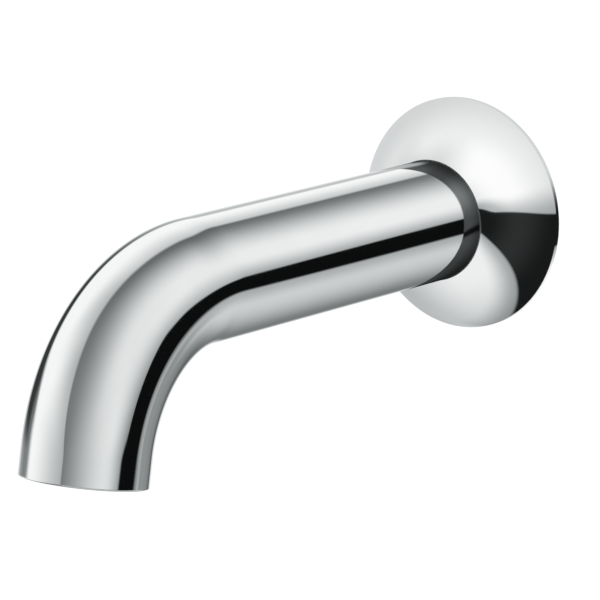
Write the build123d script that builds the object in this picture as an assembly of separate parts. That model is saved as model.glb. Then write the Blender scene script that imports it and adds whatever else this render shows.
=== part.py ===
"""Wall-mounted bath spout: a bent chromed brass tube, pushed onto a spigot in the wall, with a domed flange.

Sizes are in millimetres. The wall is the plane Y = 0, the spout stands out of it along -Y and bends down
towards -Z, and X runs across it. The origin is the centre of the flange's back face, on the inlet axis.
"""
import os
from math import cos, radians, sin, sqrt

from build123d import *

# Spout tube: how far it stands out is measured from the wall
tube_diameter = 38.0
tube_wall = 1.5
straight_reach = 136.0
bend_radius = 50.0
bend_angle = 80.0
outlet_straight = 9.0
rim_round = 0.5

# Inlet sleeve, brazed into the wall end of the tube, with a collar that the tube butts against
collar_reach = 3.0
collar_thickness = 2.0
sleeve_length = 31.0
sleeve_wall = 4.4
stop_thickness = 2.0
stop_width = 3.0
braze_gap = 0.05

# Fixing spigot, screwed into the wall fitting by its threaded tail, with the sleeve pushed over it
tail_diameter = 20.955
tail_length = 16.0
shoulder_reach = 2.0
tail_chamfer = 1.0
waterway_diameter = 11.6
key_size = 12.0
key_depth = 10.0
spigot_chamfer = 1.0
slide_clearance = 0.05
stop_gap = 0.1

# Two sealing rings round the spigot
spigot_seal_depth = 2.0
spigot_seal_width = 2.9
spigot_seal_first = 10.0
spigot_seal_spacing = 6.0
seal_roundness = 0.9

# Gap left where a ring, a gasket or a screw's point rests in its seat
seat_gap = 0.03

# Grub screw under the tube, which locks the sleeve to a groove in the spigot
grub_diameter = 5.0
grub_reach = 25.0
grub_recess = 0.8
grub_bite = 1.0
grub_point = 1.2
grub_key_size = 2.5
grub_key_depth = 2.2
groove_side_room = 0.5
thread_clearance = 0.05

# Domed wall flange, which slides on the tube and grips it with a ring in its hub
flange_diameter = 73.5
flange_lip = 1.5
flange_crown = 17.4
flange_sheet = 1.6
flange_clearance = 0.1
crown_round = 0.2
edge_round = 0.3
hub_wall = 3.4
hub_reach = 4.5
flange_seal_depth = 1.9
flange_seal_width = 2.9
flange_seal_land = 2.2

# Foam gasket that fills the flange's rim against the wall
gasket_thickness = 3.0
gasket_width = 4.5

# Outlet bush, brazed into the end of the tube, with a threaded bore for the stream straightener
outlet_recess = 1.0
bush_wall = 3.4
bush_barrel_wall = 1.6
bush_length = 13.0
bush_relief = 0.5
bush_lip_thickness = 1.5
bush_lip_width = 2.6

# Stream straightener: a threaded ring that holds a honeycomb against a flat washer
washer_thickness = 1.2
washer_width = 2.2
housing_wall = 1.6
housing_lip_thickness = 1.0
housing_lip_width = 0.8
notch_count = 4
notch_width = 2.4
notch_depth = 0.7
core_clearance = 0.1
core_rim = 0.8
cell_size = 3.0
cell_web = 0.5
least_cell_share = 0.25

# Counts of sides and degrees
hexagon_sides = 6
full_turn = 360.0

# Radii and reaches that follow from the sizes above
tube_radius = tube_diameter / 2
bore_radius = tube_radius - tube_wall
tube_start = collar_reach + collar_thickness
sleeve_radius = bore_radius - braze_gap
sleeve_bore = sleeve_radius - sleeve_wall
sleeve_end = tube_start + sleeve_length
spigot_radius = sleeve_bore - slide_clearance
spigot_end = sleeve_end - stop_thickness - stop_gap
waterway_radius = waterway_diameter / 2
flange_radius = flange_diameter / 2
flange_bore = tube_radius + flange_clearance
bush_bore = sleeve_radius - bush_wall
bush_end = outlet_recess + bush_length
housing_radius = bush_bore - thread_clearance
housing_inside = housing_radius - housing_wall
housing_end = bush_end - bush_lip_thickness - washer_thickness
core_start = outlet_recess + housing_lip_thickness

# The wall side looks along the inlet axis, with reach from the wall as its height
inlet_plane = Plane(origin=(0, 0, 0), x_dir=(1, 0, 0), z_dir=(0, -1, 0))

# The outlet side looks back up the end of the tube, with depth from the rim as its height
bend_turn = radians(bend_angle)
outlet_direction = Vector(0, -cos(bend_turn), -sin(bend_turn))
bend_end = Vector(0, -straight_reach - bend_radius * sin(bend_turn), bend_radius * (cos(bend_turn) - 1))
outlet_centre = bend_end + outlet_direction * outlet_straight
outlet_plane = Plane(origin=outlet_centre, x_dir=(1, 0, 0), z_dir=-outlet_direction)


def turned(*points):
    """A solid turned about the local height axis from a closed profile of (radius, height) points."""
    profile = make_face(Polyline(*points, close=True))
    return revolve(Plane.XZ * profile, axis=Axis.Z)


def turned_ring(inner, outer, start, end):
    """A plain turned ring between two radii and two heights."""
    return turned((inner, start), (outer, start), (outer, end), (inner, end))


def hexagon(across_flats):
    """A hexagon of the given size across its flats, with a corner on the local X axis."""
    return RegularPolygon(across_flats / 2, hexagon_sides, major_radius=False)


def sealing_ring(inner, outer, width, middle):
    """A rubber ring pressed to an oval section between the floor of its groove and the wall opposite."""
    thickness = outer - inner
    section = RectangleRounded(thickness, width, seal_roundness * min(thickness, width) / 2)
    section = Plane.XZ * Pos((inner + outer) / 2, middle) * section
    return revolve(section, axis=Axis.Z)


def make_spout_tube():
    """The tube: an annulus swept along the inlet axis, round the bend and down to the square-cut outlet."""
    straight = Line((-tube_start, 0), (-straight_reach, 0))
    bend = JernArc(start=straight @ 1, tangent=straight % 1, radius=bend_radius, arc_size=bend_angle)
    ending = PolarLine(start=bend @ 1, length=outlet_straight, direction=bend % 1)
    path = Plane.YZ * (straight + bend + ending)
    section = Circle(tube_radius) - Circle(bore_radius)
    tube = sweep(Plane(origin=path @ 0, z_dir=path % 0) * section, path=path)
    inner_rim, outer_rim, *_ = tube.edges().sort_by_distance(outlet_centre)
    tube = fillet([inner_rim, outer_rim], rim_round)
    return tube - inlet_plane * grub_hole()


def grub_axis():
    """The place of the grub screw: its height axis points down out of the tube's underside."""
    return Plane(origin=(0, 0, grub_reach), x_dir=(1, 0, 0), z_dir=(0, -1, 0))


def grub_hole():
    """The tapped hole for the grub screw, through the tube and the sleeve."""
    radius = grub_diameter / 2 + thread_clearance
    return grub_axis() * Cylinder(radius, tube_diameter, align=(Align.CENTER, Align.CENTER, Align.MIN))


def make_inlet_sleeve():
    """The sleeve inside the tube, with its collar at the wall end and a stop for the spigot inside."""
    stop_radius = sleeve_bore - stop_width
    sleeve = turned(
        (sleeve_bore, collar_reach),
        (tube_radius, collar_reach),
        (tube_radius, tube_start),
        (sleeve_radius, tube_start),
        (sleeve_radius, sleeve_end),
        (stop_radius, sleeve_end),
        (stop_radius, sleeve_end - stop_thickness),
        (sleeve_bore, sleeve_end - stop_thickness),
    )
    return inlet_plane * (sleeve - grub_hole())


def spigot_seal_middles():
    """How far each sealing ring of the spigot stands from the wall."""
    return [spigot_seal_first, spigot_seal_first + spigot_seal_spacing]


def grub_tip_radius():
    """How near the point of the grub screw comes to the inlet axis."""
    return spigot_radius - grub_bite


def make_fixing_spigot():
    """The spigot: threaded tail, shoulder, two ring grooves, a locking groove, waterway and key socket."""
    tail_radius = tail_diameter / 2
    spigot = turned(
        (0, -tail_length),
        (tail_radius - tail_chamfer, -tail_length),
        (tail_radius, tail_chamfer - tail_length),
        (tail_radius, shoulder_reach),
        (spigot_radius, shoulder_reach),
        (spigot_radius, spigot_end - spigot_chamfer),
        (spigot_radius - spigot_chamfer, spigot_end),
        (0, spigot_end),
    )
    for middle in spigot_seal_middles():
        half = spigot_seal_width / 2
        spigot -= turned_ring(spigot_radius - spigot_seal_depth, tube_radius, middle - half, middle + half)
    half = grub_diameter / 2 + groove_side_room
    spigot -= turned_ring(grub_tip_radius() - seat_gap, tube_radius, grub_reach - half, grub_reach + half)
    spigot -= turned_ring(0, waterway_radius, -tail_length, spigot_end)
    socket = extrude(hexagon(key_size), key_depth)
    return inlet_plane * (spigot - Pos(0, 0, spigot_end - key_depth) * socket)


def make_spigot_seal(middle):
    """One sealing ring between its groove in the spigot and the sleeve's bore."""
    inner = spigot_radius - spigot_seal_depth + seat_gap
    ring = sealing_ring(inner, sleeve_bore - seat_gap, spigot_seal_width - 2 * seat_gap, middle)
    return inlet_plane * ring


def make_grub_screw():
    """The headless screw: a cone point in the spigot's groove and a key socket in its outer end."""
    radius = grub_diameter / 2
    tip = grub_tip_radius()
    outer_end = tube_radius - grub_recess
    screw = turned(
        (0, tip),
        (radius - grub_point, tip),
        (radius, tip + grub_point),
        (radius, outer_end),
        (0, outer_end),
    )
    socket = extrude(hexagon(grub_key_size), grub_key_depth)
    screw -= Pos(0, 0, outer_end - grub_key_depth) * socket
    return inlet_plane * (grub_axis() * screw)


def dome_centre():
    """How far the dome's centre lies behind the wall, so that it meets both the lip and the crown."""
    rise = flange_crown - flange_lip
    spread = flange_radius**2 - tube_radius**2 + flange_lip**2 - flange_crown**2
    return spread / (2 * rise)


def dome_radius():
    """The radius of the flange's outer dome."""
    return sqrt(flange_radius**2 + (flange_lip + dome_centre()) ** 2)


def dome_reach(radius, thickness=0.0):
    """How far the dome stands from the wall at a radius, on a surface that much inside the outer one."""
    return sqrt((dome_radius() - thickness) ** 2 - radius**2) - dome_centre()


def make_wall_flange():
    """The flange: a thin dome with a short lip at the wall and a grooved hub round the tube."""
    hub_radius = flange_bore + hub_wall
    rim_inside = flange_radius - flange_sheet
    crown = dome_reach(flange_bore)
    hub_top = dome_reach(hub_radius, flange_sheet)
    rim_top = dome_reach(rim_inside, flange_sheet)
    rim = Polyline((rim_inside, rim_top), (rim_inside, 0), (flange_radius, 0), (flange_radius, flange_lip))
    dome = RadiusArc(rim @ 1, (flange_bore, crown), -dome_radius())
    hub = Polyline(dome @ 1, (flange_bore, hub_reach), (hub_radius, hub_reach), (hub_radius, hub_top))
    inside = RadiusArc(hub @ 1, rim @ 0, dome_radius() - flange_sheet)
    section = make_face(rim + dome + hub + inside)
    section = fillet(section.vertices().sort_by_distance(dome @ 0)[0], edge_round)
    section = fillet(section.vertices().sort_by_distance(dome @ 1)[0], crown_round)
    flange = revolve(Plane.XZ * section, axis=Axis.Z)
    half = flange_seal_width / 2
    middle = flange_seal_middle()
    groove = turned_ring(tube_radius, flange_bore + flange_seal_depth, middle - half, middle + half)
    return inlet_plane * (flange - groove)


def flange_seal_middle():
    """How far the ring in the flange's hub stands from the wall."""
    return hub_reach + flange_seal_land + flange_seal_width / 2


def make_flange_seal():
    """The rubber ring in the hub's groove, which grips the tube."""
    outer = flange_bore + flange_seal_depth - seat_gap
    width = flange_seal_width - 2 * seat_gap
    return inlet_plane * sealing_ring(tube_radius + seat_gap, outer, width, flange_seal_middle())


def make_wall_gasket():
    """The foam ring behind the rim: flat on the wall, and curved to the inside of the dome."""
    outside = flange_radius - flange_sheet - seat_gap
    shell = flange_sheet + seat_gap
    top_radius = sqrt((dome_radius() - shell) ** 2 - (gasket_thickness + dome_centre()) ** 2)
    inside = top_radius - gasket_width
    edge = dome_reach(outside, shell)
    top = Line((top_radius, gasket_thickness), (inside, gasket_thickness))
    flat = Polyline(top @ 1, (inside, 0), (outside, 0), (outside, edge))
    curve = RadiusArc(flat @ 1, top @ 0, shell - dome_radius())
    return inlet_plane * revolve(Plane.XZ * make_face(top + flat + curve), axis=Axis.Z)


def make_outlet_bush():
    """The bush: a brazing land inside the tube's end, a thinner barrel above it and a lip for the washer."""
    land_end = outlet_straight - bush_relief
    barrel_radius = bush_bore + bush_barrel_wall
    lip_radius = bush_bore - bush_lip_width
    bush = turned(
        (bush_bore, outlet_recess),
        (sleeve_radius, outlet_recess),
        (sleeve_radius, land_end),
        (barrel_radius, land_end),
        (barrel_radius, bush_end),
        (lip_radius, bush_end),
        (lip_radius, bush_end - bush_lip_thickness),
        (bush_bore, bush_end - bush_lip_thickness),
    )
    return outlet_plane * bush


def make_straightener_washer():
    """The flat washer between the bush's lip and the top of the threaded ring."""
    inner = housing_radius - washer_width
    return outlet_plane * turned_ring(inner, housing_radius, housing_end, bush_end - bush_lip_thickness)


def make_straightener_housing():
    """The threaded ring: a lip that carries the honeycomb and key notches across its lower face."""
    lip_radius = housing_inside - housing_lip_width
    housing = turned(
        (lip_radius, outlet_recess),
        (housing_radius, outlet_recess),
        (housing_radius, housing_end),
        (housing_inside, housing_end),
        (housing_inside, core_start),
        (lip_radius, core_start),
    )
    notch = Box(tube_diameter, notch_width, notch_depth, align=(Align.MIN, Align.CENTER, Align.MIN))
    for turn in range(notch_count):
        housing -= Pos(0, 0, outlet_recess) * Rot(0, 0, turn * full_turn / notch_count) * notch
    return outlet_plane * housing


def make_honeycomb_core():
    """The straightener's core: a disc pierced by hexagonal cells, which the rim cuts off at the edge."""
    core_radius = housing_inside - core_clearance
    field_radius = core_radius - core_rim
    pitch = cell_size + cell_web
    row_height = pitch * sqrt(3) / 2
    rows = int(field_radius / row_height) + 1
    columns = int(field_radius / pitch) + 1
    cells = Sketch()
    for row in range(-rows, rows + 1):
        for column in range(-columns, columns + 1):
            middle = Vector(column * pitch + (row % 2) * pitch / 2, row * row_height)
            if middle.length < field_radius - cell_size * least_cell_share:
                cells += Pos(middle) * Rot(0, 0, full_turn / hexagon_sides / 2) * hexagon(cell_size)
    section = Circle(core_radius) - (cells & Circle(field_radius))
    core = extrude(section, housing_end - core_start)
    return outlet_plane * Pos(0, 0, core_start) * core


first_seal, second_seal = spigot_seal_middles()
pieces = {
    "spout_tube": make_spout_tube(),
    "inlet_sleeve": make_inlet_sleeve(),
    "fixing_spigot": make_fixing_spigot(),
    "spigot_seal_rear": make_spigot_seal(first_seal),
    "spigot_seal_front": make_spigot_seal(second_seal),
    "grub_screw": make_grub_screw(),
    "wall_flange": make_wall_flange(),
    "flange_seal": make_flange_seal(),
    "wall_gasket": make_wall_gasket(),
    "outlet_bush": make_outlet_bush(),
    "straightener_washer": make_straightener_washer(),
    "straightener_housing": make_straightener_housing(),
    "honeycomb_core": make_honeycomb_core(),
}

os.makedirs("parts", exist_ok=True)
for name, piece in pieces.items():
    export_step(piece, f"parts/{name}.step")
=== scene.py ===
"""Bath spout in polished chrome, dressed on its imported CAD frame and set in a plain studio.

Sizes are in metres, in the frame of the CAD part: the wall is the plane Y = 0, the spout stands out
of it along -Y and bends down towards -Z, and X runs across it. A reach is a distance out from the wall.
"""

import math

import bpy
import numpy as np
from mathutils import Matrix, Quaternion, Vector


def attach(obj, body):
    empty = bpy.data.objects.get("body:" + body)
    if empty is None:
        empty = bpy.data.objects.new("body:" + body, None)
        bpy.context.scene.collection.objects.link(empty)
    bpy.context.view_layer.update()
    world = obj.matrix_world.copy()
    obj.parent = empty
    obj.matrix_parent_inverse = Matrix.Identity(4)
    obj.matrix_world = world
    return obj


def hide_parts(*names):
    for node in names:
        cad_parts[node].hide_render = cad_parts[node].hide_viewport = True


bl_info = {
    "name": "Bath Spout",
    "version": (1, 0, 0),
    "blender": (4, 5, 0),
    "location": "View3D > Sidebar > Bath Spout",
    "description": "A wall-mounted bath spout in polished chrome, in a plain studio",
    "category": "Add Mesh",
}

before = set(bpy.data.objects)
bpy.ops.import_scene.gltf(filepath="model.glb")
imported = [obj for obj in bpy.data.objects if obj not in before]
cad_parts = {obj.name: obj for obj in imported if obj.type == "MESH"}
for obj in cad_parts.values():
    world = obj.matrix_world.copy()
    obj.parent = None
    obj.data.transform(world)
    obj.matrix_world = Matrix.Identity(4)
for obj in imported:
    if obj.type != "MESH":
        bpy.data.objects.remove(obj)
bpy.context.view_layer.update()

BODY = "root"
FULL_TURN = 2 * math.pi
SHARP_ANGLE = math.radians(40)


def length(label, text, default):
    """A size in metres that a user may change."""
    return bpy.props.FloatProperty(name=label, description=text, default=default, unit="LENGTH", precision=5)


def angle(label, text, default):
    """An angle that a user may change, given here in degrees."""
    turn = math.radians(default)
    return bpy.props.FloatProperty(name=label, description=text, default=turn, subtype="ANGLE")


def share(label, text, default):
    """A share from 0 to 1 that a user may change."""
    return bpy.props.FloatProperty(
        name=label, description=text, default=default, min=0, max=1, subtype="FACTOR"
    )


def colour(label, text, default):
    """A colour that a user may change."""
    return bpy.props.FloatVectorProperty(
        name=label, description=text, default=default, size=3, min=0, max=1, subtype="COLOR"
    )


def strength(label, text, default):
    """A strength of light that a user may change."""
    return bpy.props.FloatProperty(name=label, description=text, default=default, min=0)


def subgroup(kind, label, text):
    """A group of settings inside another."""
    return bpy.props.PointerProperty(type=kind, name=label, description=text)


class TubeSizes(bpy.types.PropertyGroup):
    """Sizes of the bent tube."""

    diameter: length("Diameter", "Outside diameter of the tube", 0.038)
    wall: length("Wall", "Thickness of the tube's wall", 0.0015)
    start: length("Start", "Reach at which the tube meets the sleeve's collar", 0.005)
    straight_reach: length("Straight Reach", "Reach at which the bend starts", 0.136)
    bend_radius: length("Bend Radius", "Radius of the bend, on the tube's centre line", 0.05)
    bend_angle: angle("Bend Angle", "How far the bend turns down", 80)
    outlet_straight: length("Outlet Straight", "Straight length after the bend", 0.009)
    rim_round: length("Rim Round", "Rounding of the outlet's edges", 0.0005)
    screw_reach: length("Screw Reach", "Reach of the grub screw's hole in the underside", 0.025)
    screw_hole: length("Screw Hole", "Radius of the grub screw's hole", 0.00255)


class FlangeSizes(bpy.types.PropertyGroup):
    """Sizes of the domed wall flange."""

    diameter: length("Diameter", "Outside diameter of the flange", 0.0735)
    lip: length("Lip", "Height of the straight lip at the wall", 0.0015)
    crown: length("Crown", "Reach of the dome where it meets the tube", 0.0174)
    sheet: length("Sheet", "Thickness of the dome", 0.0016)
    clearance: length("Clearance", "Gap between the flange's bore and the tube", 0.0001)
    edge_round: length("Edge Round", "Rounding between lip and dome", 0.0003)
    crown_round: length("Crown Round", "Rounding at the bore", 0.00005)
    hub_wall: length("Hub Wall", "Thickness of the hub round the tube", 0.0034)
    hub_reach: length("Hub Reach", "Reach of the hub's wall end", 0.0045)
    seal_depth: length("Seal Groove Depth", "Depth of the hub's ring groove", 0.0019)
    seal_width: length("Seal Groove Width", "Width of the hub's ring groove", 0.0029)
    seal_land: length("Seal Land", "Length of bore between the hub's end and the groove", 0.0022)


class SpigotSizes(bpy.types.PropertyGroup):
    """Sizes of the threaded fixing spigot."""

    tail_diameter: length("Tail Diameter", "Outside diameter of the threaded tail", 0.020955)
    tail_length: length("Tail Length", "Length of the tail behind the wall's face", 0.016)
    tail_chamfer: length("Tail Chamfer", "Chamfer at the tail's end", 0.001)
    thread_pitch: length("Thread Pitch", "Distance from one thread to the next", 0.001814)
    thread_depth: length("Thread Depth", "Depth of the thread from crest to root", 0.001162)
    thread_runout: length("Thread Runout", "Length over which the thread fades out", 0.002)
    shoulder_reach: length("Shoulder Reach", "Reach of the shoulder in front of the tail", 0.002)
    body_radius: length("Body Radius", "Radius of the plain body inside the sleeve", 0.013)
    end_reach: length("End Reach", "Reach of the spigot's front end", 0.0339)
    end_chamfer: length("End Chamfer", "Chamfer at the front end", 0.001)
    seal_depth: length("Seal Groove Depth", "Depth of the two ring grooves", 0.002)
    seal_width: length("Seal Groove Width", "Width of the two ring grooves", 0.0029)
    seal_first: length("First Seal", "Reach of the first ring's middle", 0.01)
    seal_spacing: length("Seal Spacing", "Distance between the two rings", 0.006)
    lock_reach: length("Lock Groove Reach", "Reach of the groove for the grub screw's point", 0.025)
    lock_depth: length("Lock Groove Depth", "Depth of the locking groove", 0.00103)
    lock_width: length("Lock Groove Width", "Width of the locking groove", 0.006)
    waterway: length("Waterway", "Diameter of the bore", 0.0116)
    key_size: length("Key Size", "Width across flats of the key socket", 0.012)
    key_depth: length("Key Depth", "Depth of the key socket", 0.01)


class Finishes(bpy.types.PropertyGroup):
    """Colours of the finishes."""

    chrome: colour("Chrome", "Polished chrome plating", (0.945, 0.945, 0.945))
    chrome_roughness: share("Chrome Roughness", "How far the polish blurs what it mirrors", 0.045)
    brass: colour("Brass", "Freshly turned brass", (0.76, 0.58, 0.27))
    # The darker brass serves for uneven tarnish and turning marks, and as painted shade in the thread's
    # roots.
    brass_tarnish_and_painted_shade: colour("Brass Shade", "Brass in grooves and thread roots", (0.36, 0.24, 0.1))
    steel: colour("Steel", "Plain screw steel", (0.55, 0.56, 0.57))
    steel_shade: colour("Steel Shade", "Steel where oil has darkened it", (0.3, 0.3, 0.31))
    rubber: colour("Rubber", "Black sealing rubber", (0.025, 0.025, 0.027))
    rubber_bloom: colour("Rubber Bloom", "Pale bloom on the rubber", (0.05, 0.05, 0.052))
    foam: colour("Foam", "Closed-cell foam", (0.06, 0.06, 0.065))
    # The darker foam is painted shade inside the cells' mouths.
    foam_cell_painted_shade: colour("Foam Cells", "Foam at the mouths of its cells", (0.02, 0.02, 0.022))
    plastic: colour("Plastic", "Moulded grey plastic", (0.62, 0.64, 0.66))
    plastic_shade: colour("Plastic Shade", "Plastic where it is a little darker", (0.52, 0.54, 0.57))


class StudioSettings(bpy.types.PropertyGroup):
    """Place of the camera and the floor, and strength of the light."""

    azimuth: angle("Azimuth", "How far the camera stands round to the spout's right", 37.13)
    elevation: angle("Elevation", "How far the camera looks down", 12.152)
    roll: angle("Roll", "How far the camera is tipped about its line of sight", 0.336)
    distance: length("Distance", "Distance from the camera to its target", 1.34048)
    target_reach: length("Target Reach", "Reach of the camera's target", 0.0849)
    target_height: length("Target Height", "Height of the camera's target", -0.014205)
    focal: bpy.props.FloatProperty(
        name="Focal Length", description="Focal length of the lens", default=266.263, unit="CAMERA"
    )
    floor_height: length("Floor Height", "Height of the floor", -0.15)
    floor_size: length("Floor Size", "Width of the floor", 8.0)
    floor_colour: colour("Floor", "Pale floor", (0.92, 0.92, 0.92))
    ambient: strength("Ambient", "Soft light on matt surfaces", 1.15)
    mirrored_light: strength("Mirrored Light", "Light that the chrome mirrors", 1.06)
    shade_tint: colour("Shade Tint", "Tint of the darker surroundings", (0.91, 0.985, 1.0))


class BathSpoutSettings(bpy.types.PropertyGroup):
    """All settings of the bath spout."""

    tube: subgroup(TubeSizes, "Tube", "Sizes of the bent tube")
    flange: subgroup(FlangeSizes, "Flange", "Sizes of the wall flange")
    spigot: subgroup(SpigotSizes, "Spigot", "Sizes of the fixing spigot")
    finishes: subgroup(Finishes, "Finishes", "Colours of the finishes")
    studio: subgroup(StudioSettings, "Studio", "Camera, floor and light")


# Surfaces


def between(start, end, count):
    """Evenly spaced values from start to end, with both ends."""
    return np.linspace(start, end, count + 1)


def joined_rows(*rows):
    """Rows of points, one after another, as one array."""
    return np.concatenate([np.atleast_2d(np.asarray(row, float)) for row in rows])


def arc_rows(centre, radius, start, end, count):
    """Points (radius, reach) on an arc: the centre plus the radius times the cosine and sine of the angle."""
    turn = between(start, end, count)
    return np.stack([centre[0] + radius * np.cos(turn), centre[1] + radius * np.sin(turn)], axis=1)


def ring_turns(columns):
    """Angles of the columns of a ring, starting straight up and going once round."""
    return np.arange(columns) * FULL_TURN / columns + FULL_TURN / 4


def turned_points(radius, reach, turn):
    """A ring about the inlet axis: radius times cosine across, radius times sine up, and the reach out."""
    radius, reach, turn = np.broadcast_arrays(radius, reach, turn)
    return np.stack([radius * np.cos(turn), -reach, radius * np.sin(turn)], axis=-1)


def ring_faces(index, closed=True):
    """Quads between neighbouring rows of an index grid whose rows are rings.

    Closed joins the last row to the first.
    """
    here = index if closed else index[:-1]
    ahead = np.roll(index, -1, axis=0) if closed else index[1:]
    quads = [here, np.roll(here, -1, axis=1), np.roll(ahead, -1, axis=1), ahead]
    return np.stack(quads, axis=-1).reshape(-1, 4)


def add_piece(name, node, slot, finish, points, faces, marks=None):
    """Makes a piece from points and quads in place of its CAD node; marks are named values of its points."""
    used, faces = np.unique(faces, return_inverse=True)
    corners = points.reshape(-1, 3)[used]
    mesh = bpy.data.meshes.new(name)
    mesh.from_pydata(corners.tolist(), [], faces.reshape(-1, 4).tolist(), shade_flat=False)
    mesh.set_sharp_from_angle(angle=SHARP_ANGLE)
    for mark, values in (marks or {}).items():
        attribute = mesh.attributes.new(mark, "FLOAT", "POINT")
        attribute.data.foreach_set("value", values.ravel()[used].astype(np.float32))
    mesh.materials.append(finish)
    piece = bpy.data.objects.new(name, mesh)
    bpy.context.scene.collection.objects.link(piece)
    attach(piece, BODY)
    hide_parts(node)


def dress(node, finish):
    """Gives a CAD node its finish."""
    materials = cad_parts[node].data.materials
    materials.clear()
    materials.append(finish)


TUBE_COLUMNS = 192
START_ROWS = 6
STRAIGHT_ROWS = 24
BEND_ROWS = 72
OUTLET_ROWS = 6
HOLE_COLUMNS = 6
HOLE_ROWS = 8
HOLE_MARGIN = 0.004
HOLE_RINGS = 0.35, 0.7, 0.95, 1.0
RIM_STEPS = 8
SUPPORT = 0.00002


def tube_line(sizes, station):
    """The centre line at a station: straight along the reach, then round the bend, then straight again.

    Gives the point's reach and drop and the angle that the line has turned down by.
    """
    turned_by = np.clip((station - sizes.straight_reach) / sizes.bend_radius, 0, sizes.bend_angle)
    straight = np.minimum(station, sizes.straight_reach)
    after = np.maximum(station - sizes.straight_reach - sizes.bend_radius * sizes.bend_angle, 0)
    reach = straight + sizes.bend_radius * np.sin(turned_by) + after * math.cos(sizes.bend_angle)
    drop = sizes.bend_radius * (1 - np.cos(turned_by)) + after * math.sin(sizes.bend_angle)
    return reach, drop, turned_by


def tube_points(sizes, station, radius, turn):
    """A ring round the centre line: radius times cosine across, radius times sine up the turned upright."""
    reach, drop, turned_by = tube_line(sizes, station)
    across = radius * np.cos(turn)
    upright = radius * np.sin(turn)
    out = reach + upright * np.sin(turned_by)
    up = upright * np.cos(turned_by) - drop
    return np.stack([across, -out, up], axis=-1)


def tube_stations(sizes, end):
    """Stations along one wall of the tube: closer at the screw hole, round the bend and near the rim."""
    low, high = sizes.screw_reach - HOLE_MARGIN, sizes.screw_reach + HOLE_MARGIN
    bend_end = sizes.straight_reach + sizes.bend_radius * sizes.bend_angle
    return np.concatenate([
        between(sizes.start, low, START_ROWS)[:-1],
        between(low, high, HOLE_ROWS)[:-1],
        between(high, sizes.straight_reach, STRAIGHT_ROWS)[:-1],
        between(sizes.straight_reach, bend_end, BEND_ROWS)[:-1],
        between(bend_end, end - SUPPORT, OUTLET_ROWS),
    ])


def hole_rings(sizes, corner_station, corner_turn, radius):
    """Rings in one wall from the edge of the block that is left out in to the round screw hole.

    Between the two, station and angle go in proportion; on the hole the station is the sine and the
    sideways place the cosine of the angle round the hole, times its radius.
    """
    down = 3 * FULL_TURN / 4
    along = corner_station - sizes.screw_reach
    aside = corner_turn - down
    bearing = np.arctan2(along, radius * aside)
    hole_along = sizes.screw_hole * np.sin(bearing)
    hole_aside = np.arcsin(sizes.screw_hole * np.cos(bearing) / radius)
    part = np.array(HOLE_RINGS)[:, None]
    station = sizes.screw_reach + along + part * (hole_along - along)
    turn = down + aside + part * (hole_aside - aside)
    return tube_points(sizes, station, radius, turn)


def block_edge(rows, columns):
    """Row and column of each point on the edge of a block of a grid, once round."""
    across, ahead = np.arange(columns), np.arange(rows)
    row = np.concatenate([0 * across, ahead, 0 * across + rows, rows - ahead])
    column = np.concatenate([across, 0 * ahead + columns, columns - across, 0 * ahead])
    return row, column


def tube_surface(sizes):
    """The tube's whole skin: outer wall, rounded rim, inner wall and the screw hole through both.

    A section of stations and radii is carried along the centre line; a block of quads in each wall
    gives way to rings that lead to the hole and through it.
    """
    outer = sizes.diameter / 2
    inner = outer - sizes.wall
    end = sizes.straight_reach + sizes.bend_radius * sizes.bend_angle + sizes.outlet_straight
    rounding = sizes.rim_round
    round_start = end - rounding
    wall = tube_stations(sizes, round_start)
    quarter = FULL_TURN / 4
    outer_rim = arc_rows((outer - rounding, round_start), rounding, 0, quarter, RIM_STEPS)
    inner_rim = arc_rows((inner + rounding, round_start), rounding, quarter, 2 * quarter, RIM_STEPS)
    section = joined_rows(
        np.stack([np.full(wall.size, outer), wall], axis=1),
        outer_rim,
        inner_rim,
        np.stack([np.full(wall.size, inner), wall[::-1]], axis=1),
    )
    radius, station = section.T[:, :, None]
    turn = ring_turns(TUBE_COLUMNS)
    points = tube_points(sizes, station, radius, turn)
    index = np.arange(points[..., 0].size).reshape(points.shape[:2])
    faces = ring_faces(index)

    first = int(np.argmin(np.abs(wall - sizes.screw_reach + HOLE_MARGIN)))
    left = TUBE_COLUMNS // 2 - HOLE_COLUMNS
    row, column = block_edge(HOLE_ROWS, 2 * HOLE_COLUMNS)
    outer_row = first + row
    inner_row = len(section) - 1 - outer_row
    column = left + column
    outer_rings = hole_rings(sizes, section[outer_row, 1], turn[column], outer)
    inner_rings = hole_rings(sizes, section[inner_row, 1], turn[column], inner)[::-1]
    extra = np.concatenate([outer_rings, inner_rings])
    extra_index = index.size + np.arange(extra[..., 0].size).reshape(extra.shape[:2])
    rings = np.concatenate([index[outer_row, column][None], extra_index, index[inner_row, column][None]])

    face_row, face_column = np.divmod(np.arange(len(faces)), TUBE_COLUMNS)
    in_columns = (face_column >= left) & (face_column < left + 2 * HOLE_COLUMNS)
    in_outer = (face_row >= first) & (face_row < first + HOLE_ROWS)
    last = len(section) - 1 - first
    in_inner = (face_row >= last - HOLE_ROWS) & (face_row < last)
    kept = faces[~(in_columns & (in_outer | in_inner))]
    all_points = np.concatenate([points.reshape(-1, 3), extra.reshape(-1, 3)])
    inside = np.concatenate([
        np.broadcast_to(radius < inner + SUPPORT, index.shape).ravel(),
        np.repeat(np.arange(len(extra)) >= len(outer_rings), extra.shape[1]),
    ])
    all_faces = np.concatenate([kept, ring_faces(rings, closed=False)])
    return all_points, all_faces, {"inside": inside.astype(float)}


FLANGE_COLUMNS = 256
DOME_STEPS = 72
ROUND_STEPS = 6


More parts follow.
